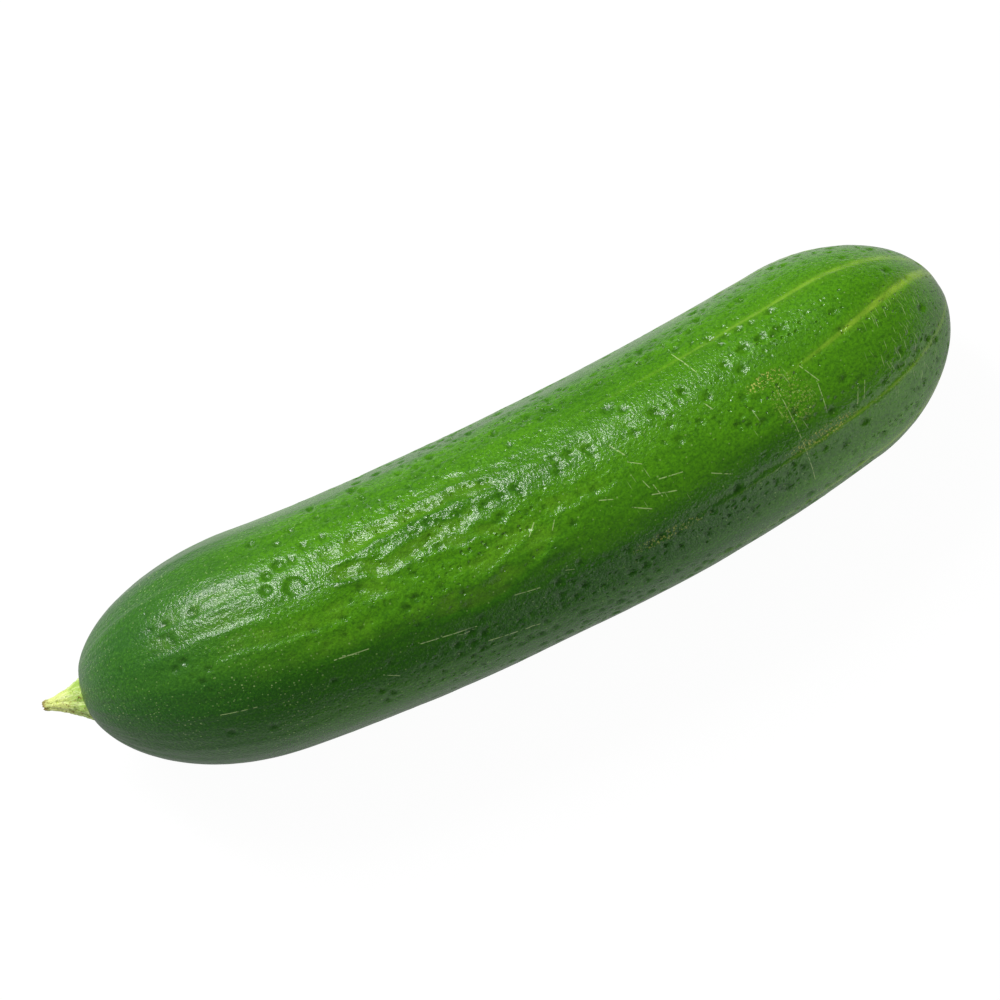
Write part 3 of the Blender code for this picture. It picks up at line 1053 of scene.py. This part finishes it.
def skin_material(settings):
    """Waxy skin: streaky greens, darker and duller at the stem, with all that marks it."""
    material, tree, shader = new_material("cucumber skin")
    skin = SkinMap(tree)
    stem_end = 1.0 - skin.along.between(16.0, 66.0)
    # The lighter green here includes painted light on the side towards the lamps.
    fresh_and_lit_share = freshness_and_lit_side(skin, stem_end).between(0.0, 0.95)
    mottle = noise(skin.spot, 0.8, 3.0, 0.65)
    grain = noise(skin.spot, 0.5, 2.0, 0.6)
    # Pimples too small for the mesh: dark, in the same loose rows as the warts.
    rows = skin.streaks(8.0, 0.2, 11.0, 2.0).between(0.42, 0.62) * skin.along.between(40.0, 100.0)
    pimples = dots(skin.flat, 2.2, 0.85, 0.3, 0.0).at_least(dots(skin.flat, 1.5, 0.55, 0.25, 0.0)) * rows
    # Warts are darker, and the tops of folds a little paler. The creases round the feet of warts and beside
    # folds are darkened as painted shade.
    wart_tone = skin.wart.between(0.03, 0.2) * (1.0 - skin.wart.between(0.3, 0.6) * 0.7)
    painted_crease_shade = (0.0 - skin.wart).between(0.015, 0.07)
    painted_crease_shade = painted_crease_shade.at_least((0.0 - skin.fold).between(0.04, 0.2) * 0.6)
    scratches, cork = scratches_and_rubs(skin), cork_crumbs(skin)
    # The ends: a straw ring round the stem and a dry brown blossom scar.
    ragged = (mottle - 0.5) * 1.6
    from_tip = SKIN_LENGTH / MM - skin.along + ragged
    scar = 1.0 - from_tip.between(1.7, 2.4)
    colour = coated(
        tree, tuple(settings.dark),
        (fresh_and_lit_share, settings.fresh),
        (stem_end * 0.65, settings.stem_green),
        (mottle.spread(0.42, 0.66, 0.0, 0.5), settings.dark),
        (grain.spread(0.48, 0.7, 0.0, 0.4), settings.wart),
        (grain.spread(0.46, 0.32, 0.0, 0.3), settings.fresh),
        (pimples * 0.24, settings.wart),
        (skin.fold.between(0.08, 0.45) * 0.1, settings.line),
        (pale_lines(skin), settings.line),
        (wart_tone * 0.28, settings.wart),
        # Painted shade in the creases, in the wart green.
        (painted_crease_shade * 0.6, settings.wart),
        (speckles(skin) * 0.55, settings.scratch),
        (cork * 0.85, settings.cork),
        (scratches * 0.65, settings.scratch),
        ((1.0 - (skin.along + ragged).between(3.6, 6.2)) * 0.75, settings.stem_ring),
        ((1.0 - from_tip.between(2.6, 4.6)) * 0.6, settings.line),
        (scar, settings.scar),
    )
    tree.links.new(colour.socket, shader.inputs["Base Color"])

    dull = stem_end * 0.12 + scratches * 0.15 + cork * 0.25 + scar * 0.3 + mottle * 0.1
    rough = dull + skin.streaks(10.0, 0.3, 30.0) * 0.1 + settings.roughness - 0.1
    tree.links.new(rough.at_most(0.9).socket, shader.inputs["Roughness"])
    shader.inputs["Specular IOR Level"].default_value = 0.4
    shader.inputs["Coat Weight"].default_value = 0.32
    shader.inputs["Coat Roughness"].default_value = 0.12

    # Orange peel, fine pimples and the slight stand of dry marks.
    surface = noise(skin.spot, 0.6, 2.0, 0.6) + pimples * 2.0 + cork * 0.6
    bump = add_bump(tree, settings.peel, PEEL_HEIGHT, surface)
    tree.links.new(bump, shader.inputs["Normal"])
    tree.links.new(bump, shader.inputs["Coat Normal"])
    return material


def stub_material(settings):
    """Dry stem: green at the root, straw further out, brown at the torn tip, with pits."""
    material, tree, shader = new_material("dry stem")
    u, v = own_map(tree)
    angle = u * (2 * math.pi)
    fibres = noise(vector(tree, angle.cosine() * 3.0, angle.sine() * 3.0, v * 1.4), 0.42, 3.0, 0.6)
    blotches = noise(object_place(tree), 0.75, 3.0, 0.65)
    out = v + (blotches - 0.5) * 0.35
    pitted = blotches.between(0.56, 0.66) * (angle + 0.4).sine().between(-0.4, 0.6)
    colour = coated(
        tree, tuple(settings.root),
        (out.between(0.1, 0.6), settings.straw),
        (fibres.between(0.45, 0.68) * 0.7, settings.fibre),
        (pitted * 0.85, settings.brown),
        (out.between(0.8, 0.98) * 0.8, settings.brown),
    )
    tree.links.new(colour.socket, shader.inputs["Base Color"])
    tree.links.new(blotches.spread(0.3, 0.7, 0.45, 0.8).socket, shader.inputs["Roughness"])
    bump = add_bump(tree, 0.8, 0.12 * MM, fibres + blotches * 0.6)
    tree.links.new(bump, shader.inputs["Normal"])
    return material


# ---------------------------------------------------------------------------------
# Pieces


def make_fruit(settings):
    """The fruit: its spine, swept and given its relief by the two trees."""
    material = skin_material(settings)
    host = spine_host(settings.rings)
    warts, folds = wart_points(settings.wart_raise), fold_points()
    use_tree(host, sweep_tree(material), settings)
    use_tree(host, relief_tree(material), settings, {"Hand Placed Warts": warts, "Folds": folds})
    piece = finished_mesh(host, "fruit_skin")
    for helper in (warts, folds):
        bpy.data.objects.remove(helper, do_unlink=True)
    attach(piece, "root")
    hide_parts("fruit")
    return piece


def stub_radius(t, angle):
    """The stub's radius at a share t of its length, at an angle round it."""
    x, y = math.cos(angle), math.sin(angle)
    taper = STUB_TIP_RADIUS + (STUB_ROOT_RADIUS - STUB_TIP_RADIUS) * (1 - t) ** STUB_TAPER
    knob = 1 + 0.16 * math.exp(-((t - 0.94) / 0.05) ** 2)
    ridge = 0.13 * (abs(math.cos(STUB_RIDGES * (angle + 0.5 * t) / 2 + 0.4)) ** 0.6 - 0.6)
    rough = steady_noise.fractal(Vector((x * 2.6, y * 2.6, t * 8.0)), 0.9, 2.0, 3)
    pits = max(0.0, steady_noise.noise(Vector((x * 4, y * 4, t * 13))) - 0.25)
    return taper * knob * (1 + ridge + 0.07 * rough - 0.34 * pits * min(1.0, t / 0.2))


def make_stub(settings):
    """The stem remnant: hollow-sided, ridged and knobbly, flared at its root, with a torn tip."""
    centre, heading, _ = section_at(STEM_POLE_X + STUB_SUNK)
    sideways, upwards = section_axes(heading)
    rows, sides = settings.rows, settings.sides
    points, faces = [], []
    for row in range(rows + 1):
        t = row / rows
        lean = sideways * (STUB_BASE_SHIFT + STUB_SIDEWAYS * t) + upwards * STUB_UPWARDS * t
        middle = centre + OFFSET - heading * STUB_LENGTH * t + lean
        for side in range(sides):
            angle = 2 * math.pi * side / sides
            spoke = upwards * math.cos(angle) - sideways * math.sin(angle)
            torn = heading * 0.35 * MM * steady_noise.noise(spoke * 3.1) * max(0.0, t - 0.85) / 0.15
            points.append(middle + spoke * stub_radius(t, angle) + torn)
    tip = len(points)
    points += [middle + heading * 0.45 * MM, centre + OFFSET]
    for row in range(rows):
        for side in range(sides):
            a, b = row * sides + side, row * sides + (side + 1) % sides
            faces.append((a, b, b + sides, a + sides))
    for side in range(sides):
        after = (side + 1) % sides
        faces.append((rows * sides + side, rows * sides + after, tip))
        faces.append((after, side, tip + 1))
    mesh = bpy.data.meshes.new("stem_remnant")
    mesh.from_pydata(points, [], faces)
    stub_map(mesh, rows, sides)
    mesh.shade_smooth()
    mesh.materials.append(stub_material(settings))
    piece = bpy.data.objects.new("stem_remnant", mesh)
    bpy.context.scene.collection.objects.link(piece)
    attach(piece, "root")
    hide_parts("stem_stub")
    return piece


def stub_map(mesh, rows, sides):
    """Maps the stub: round it across the map and root to tip up it, the two ends pinched shut."""
    layer = mesh.uv_layers.new(name="OFBake")
    for face in mesh.polygons:
        columns = [mesh.loops[loop].vertex_index % sides for loop in face.loop_indices]
        wraps = max(columns) - min(columns) > sides / 2
        for loop in face.loop_indices:
            index = mesh.loops[loop].vertex_index
            if index >= (rows + 1) * sides:
                side = (face.index % sides) + 0.5
                height = 1.0 if index == (rows + 1) * sides else 0.0
            else:
                side = index % sides
                side += sides if wraps and side < sides / 2 else 0
                height = 0.03 + 0.94 * (index // sides) / rows
            layer.data[loop].uv = (0.01 + 0.98 * side / sides, height)


# ---------------------------------------------------------------------------------
# The stage


def aim(thing, target):
    thing.rotation_mode = "QUATERNION"
    thing.rotation_quaternion = (Vector(target) - thing.location).to_track_quat("-Z", "Y")


def make_light(name, place, size, power):
    """A softbox that faces the cucumber."""
    data = bpy.data.lights.new(name, "AREA")
    data.shape = "RECTANGLE"
    data.size, data.size_y = size
    data.energy = power
    light = bpy.data.objects.new(name, data)
    light.location = place
    bpy.context.scene.collection.objects.link(light)
    aim(light, LIGHT_TARGET)
    return light


def make_world(settings):
    """A dim studio overhead that the camera sees as a pale backdrop."""
    world = bpy.data.worlds.new("studio")
    bpy.context.scene.world = world
    world.use_nodes = True
    tree = world.node_tree
    fill = tree.nodes["Background"]
    fill.inputs["Color"].default_value = (1, 1, 1, 1)
    backdrop = add_node(tree, "ShaderNodeBackground", {"Color": (1, 1, 1, 1), "Strength": 0.95})
    path = tree.nodes.new("ShaderNodeLightPath")
    both = add_node(tree, "ShaderNodeMixShader", {
        0: path.outputs["Is Camera Ray"], 1: fill.outputs[0], 2: backdrop.outputs[0],
    })
    # Shiny skin mirrors a darker room than the one that lights it.
    mirrored = Field(tree, path.outputs["Is Glossy Ray"])
    plug(tree, fill.inputs["Strength"], (1.0 - mirrored * 0.94) * settings.fill)
    tree.links.new(both.outputs[0], tree.nodes["World Output"].inputs[0])


def make_floor(settings):
    """A pale floor. Shiny skin mirrors only a card's breadth of it, wider past the blossom end."""
    bpy.ops.mesh.primitive_circle_add(vertices=96, radius=FLOOR_RADIUS, fill_type="NGON")
    floor = bpy.context.object
    floor.name = "floor"
    material, tree, shader = new_material("pale floor")
    shader.inputs["Base Color"].default_value = (0.05, 0.05, 0.05, 1)
    shader.inputs["Roughness"].default_value = 0.9
    shader.inputs["Specular IOR Level"].default_value = 0.1
    shader.inputs["Emission Color"].default_value = (1, 1, 1, 1)
    mirrored = Field(tree, tree.nodes.new("ShaderNodeLightPath").outputs["Is Glossy Ray"])
    x, y, _ = parts_of(Field(tree, add_node(tree, "ShaderNodeTexCoord").outputs["Object"]))
    card = 1.0 - (y + 0.05).size().between(0.12, 0.17)
    widened = (x * 3.5 + y + 0.02).between(-0.02, 0.02) * (1.0 - y.between(-0.04, 0.0))
    reflected = card * (y.between(-0.03, 0.05) * 0.25 + 0.28) + 0.01
    reflected = reflected.at_least(widened * (x.between(0.03, 0.25) * 0.55 + 0.3))
    glow = (1.0 - mirrored) * settings.floor_glow + mirrored * reflected
    plug(tree, shader.inputs["Emission Strength"], glow)
    floor.data.materials.append(material)


def make_camera(settings):
    data = bpy.data.cameras.new("camera")
    data.sensor_width = 36.0
    data.lens = settings.lens
    data.clip_start = 0.01
    camera = bpy.data.objects.new("camera", data)
    bpy.context.scene.collection.objects.link(camera)
    azimuth, elevation = math.radians(settings.azimuth), math.radians(settings.elevation)
    flat = math.cos(elevation)
    back = Vector((math.sin(azimuth) * flat, -math.cos(azimuth) * flat, math.sin(elevation)))
    target = Vector(settings.target)
    camera.location = target + back * settings.distance
    aim(camera, target)
    bpy.context.scene.camera = camera


def make_stage(settings):
    make_floor(settings)
    make_light("far_softbox", (-0.17, 0.66, 0.72), (0.30, 0.75), settings.key_power * 0.2)
    make_light("near_strip", (-0.195, 0.61, 0.70), (0.22, 0.32), settings.key_power * 0.78)
    make_light("blossom_softbox", (0.22, 0.66, 0.72), (0.36, 0.6), settings.side_power)
    # This one lights the skin but isn't mirrored in it.
    raking = make_light("raking_fill", (-0.30, 0.65, 0.65), (0.5, 0.4), settings.overhead_power)
    raking.visible_glossy = False
    make_light("low_wall", (0.30, -0.60, 0.04), (0.50, 0.20), settings.wall_power)
    make_world(settings)
    make_camera(settings)
    bpy.context.scene.view_settings.view_transform = "Standard"


# ---------------------------------------------------------------------------------
# The add-on


def length(name, description, default):
    return FloatProperty(name=name, description=description, default=default, unit="LENGTH", precision=5)


def amount(name, description, default, **limits):
    return FloatProperty(name=name, description=description, default=default, min=0, **limits)


def power(name, description, default):
    return amount(name, description, default, unit="POWER")


def count(name, description, default, least):
    return IntProperty(name=name, description=description, default=default, min=least)


def colour(name, description, default):
    return FloatVectorProperty(
        name=name, description=description, default=(*default, 1.0), size=4, subtype="COLOR", min=0, max=1,
    )


class FruitSettings(bpy.types.PropertyGroup):
    """Sizes and colours of the fruit's skin."""

    rings: count("Rings", "Rings of skin from pole to pole", 361, 50)
    sides: count("Sides", "Faces round each ring", 270, 36)
    lump_height: length("Lump Height", "Height of the broad lumps", 0.3 * MM)
    flute_height: length("Flute Height", "Height of the long flutes", 0.42 * MM)
    wrinkle_height: length("Wrinkle Height", "Height of the wrinkles on top", 0.4 * MM)
    wart_raise: amount("Wart Raise", "Share by which hand-placed warts are raised", 1.6)
    wart_spacing: length("Wart Spacing", "Least distance between small warts", 2.3 * MM)
    wart_radius: length("Wart Radius", "Radius of a middling wart", 1.0 * MM)
    wart_height: length("Wart Height", "Height of a middling wart", 0.48 * MM)
    seed: count("Seed", "Places of the small warts", 7, 0)
    roughness: amount("Roughness", "How dull the wax is", 0.24, max=1)
    peel: amount("Peel", "Strength of the fine surface", 0.85, max=1)
    dark: colour("Dark Green", "The darker green of the skin", (0.017, 0.096, 0.003))
    fresh: colour("Fresh Green", "The lighter, yellower green of the skin", (0.074, 0.256, 0.003))
    stem_green: colour("Stem Green", "The bluer green towards the stem", (0.028, 0.118, 0.018))
    line: colour("Pale Line", "The pale lines at the blossom end", (0.27, 0.47, 0.03))
    # This green also paints the shade in the creases.
    wart: colour("Wart Green", "Warts and creases", (0.008, 0.055, 0.004))
    scratch: colour("Scratch", "Dry scratches and speckles", (0.42, 0.55, 0.22))
    cork: colour("Cork", "Rubbed, corky patches", (0.46, 0.52, 0.09))
    stem_ring: colour("Stem Ring", "The skin round the stem", (0.22, 0.33, 0.05))
    scar: colour("Blossom Scar", "The dry spot where the flower was", (0.20, 0.12, 0.045))


class StubSettings(bpy.types.PropertyGroup):
    """Fineness and colours of the dry stem stub."""

    rows: count("Rows", "Rings from root to tip", 110, 20)
    sides: count("Sides", "Faces round each ring", 128, 24)
    root: colour("Root", "The green where the stub leaves the skin", (0.30, 0.47, 0.07))
    straw: colour("Straw", "The stub's yellow-green", (0.55, 0.62, 0.17))
    fibre: colour("Fibre", "Pale fibres along the ridges", (0.68, 0.76, 0.36))
    brown: colour("Brown", "Pits and the dead tip", (0.17, 0.095, 0.012))


class StageSettings(bpy.types.PropertyGroup):
    """Floor, lights and camera."""

    floor_glow: amount("Floor Glow", "Light given off by the floor", 0.96)
    key_power: power("Softboxes", "Power of the two main softboxes", 6.0)
    side_power: power("Side", "Power of the weak softbox by the blossom end", 0.14)
    overhead_power: power("Raking Fill", "Power of the raking fill", 4.0)
    wall_power: power("Low Wall", "Power of the low pale wall by the blossom end", 0.34)
    fill: amount("Fill", "Light from all round", 0.46)
    lens: amount("Lens", "Focal length in millimetres", 135.0)
    azimuth: FloatProperty(name="Azimuth", description="Camera's turn in degrees", default=-26.2)
    elevation: FloatProperty(name="Elevation", description="Camera's height in degrees", default=80.0)
    distance: length("Distance", "Camera's distance", 0.758)
    target: FloatVectorProperty(
        name="Target", description="Point that the camera looks at", size=3, default=(0.0005, 0.0062, 0.02),
        unit="LENGTH",
    )


class CUCUMBER_OT_fruit(bpy.types.Operator):
    """Make the fruit with its skin"""

    bl_idname = "cucumber.fruit"
    bl_label = "Fruit"

    def execute(self, context):
        make_fruit(context.scene.cucumber_fruit)
        return {"FINISHED"}


class CUCUMBER_OT_stub(bpy.types.Operator):
    """Make the dry stub of the stem"""

    bl_idname = "cucumber.stub"
    bl_label = "Stem Stub"

    def execute(self, context):
        make_stub(context.scene.cucumber_stub)
        return {"FINISHED"}


class CUCUMBER_OT_stage(bpy.types.Operator):
    """Make the floor, the lights and the camera"""

    bl_idname = "cucumber.stage"
    bl_label = "Stage"

    def execute(self, context):
        make_stage(context.scene.cucumber_stage)
        return {"FINISHED"}


class CUCUMBER_PT_panel(bpy.types.Panel):
    """Lists the cucumber's operators in the sidebar"""

    bl_idname = "CUCUMBER_PT_panel"
    bl_label = "Cucumber"
    bl_space_type = "VIEW_3D"
    bl_region_type = "UI"
    bl_category = "Cucumber"

    def draw(self, context):
        for name in ("fruit", "stub", "stage"):
            box = self.layout.box()
            box.operator(f"cucumber.{name}")
            settings = getattr(context.scene, f"cucumber_{name}")
            for field in settings.bl_rna.properties:
                if field.identifier not in ("rna_type", "name"):
                    box.prop(settings, field.identifier)


SETTINGS = {
    "cucumber_fruit": FruitSettings,
    "cucumber_stub": StubSettings,
    "cucumber_stage": StageSettings,
}
CLASSES = [*SETTINGS.values(), CUCUMBER_OT_fruit, CUCUMBER_OT_stub, CUCUMBER_OT_stage, CUCUMBER_PT_panel]


def register():
    for item in CLASSES:
        bpy.utils.register_class(item)
    for name, group in SETTINGS.items():
        setattr(bpy.types.Scene, name, PointerProperty(type=group))


def unregister():
    for name in SETTINGS:
        delattr(bpy.types.Scene, name)
    for item in reversed(CLASSES):
        bpy.utils.unregister_class(item)


def main():
    register()
    bpy.ops.cucumber.fruit()
    bpy.ops.cucumber.stub()
    bpy.ops.cucumber.stage()


if __name__ == "__main__":
    main()
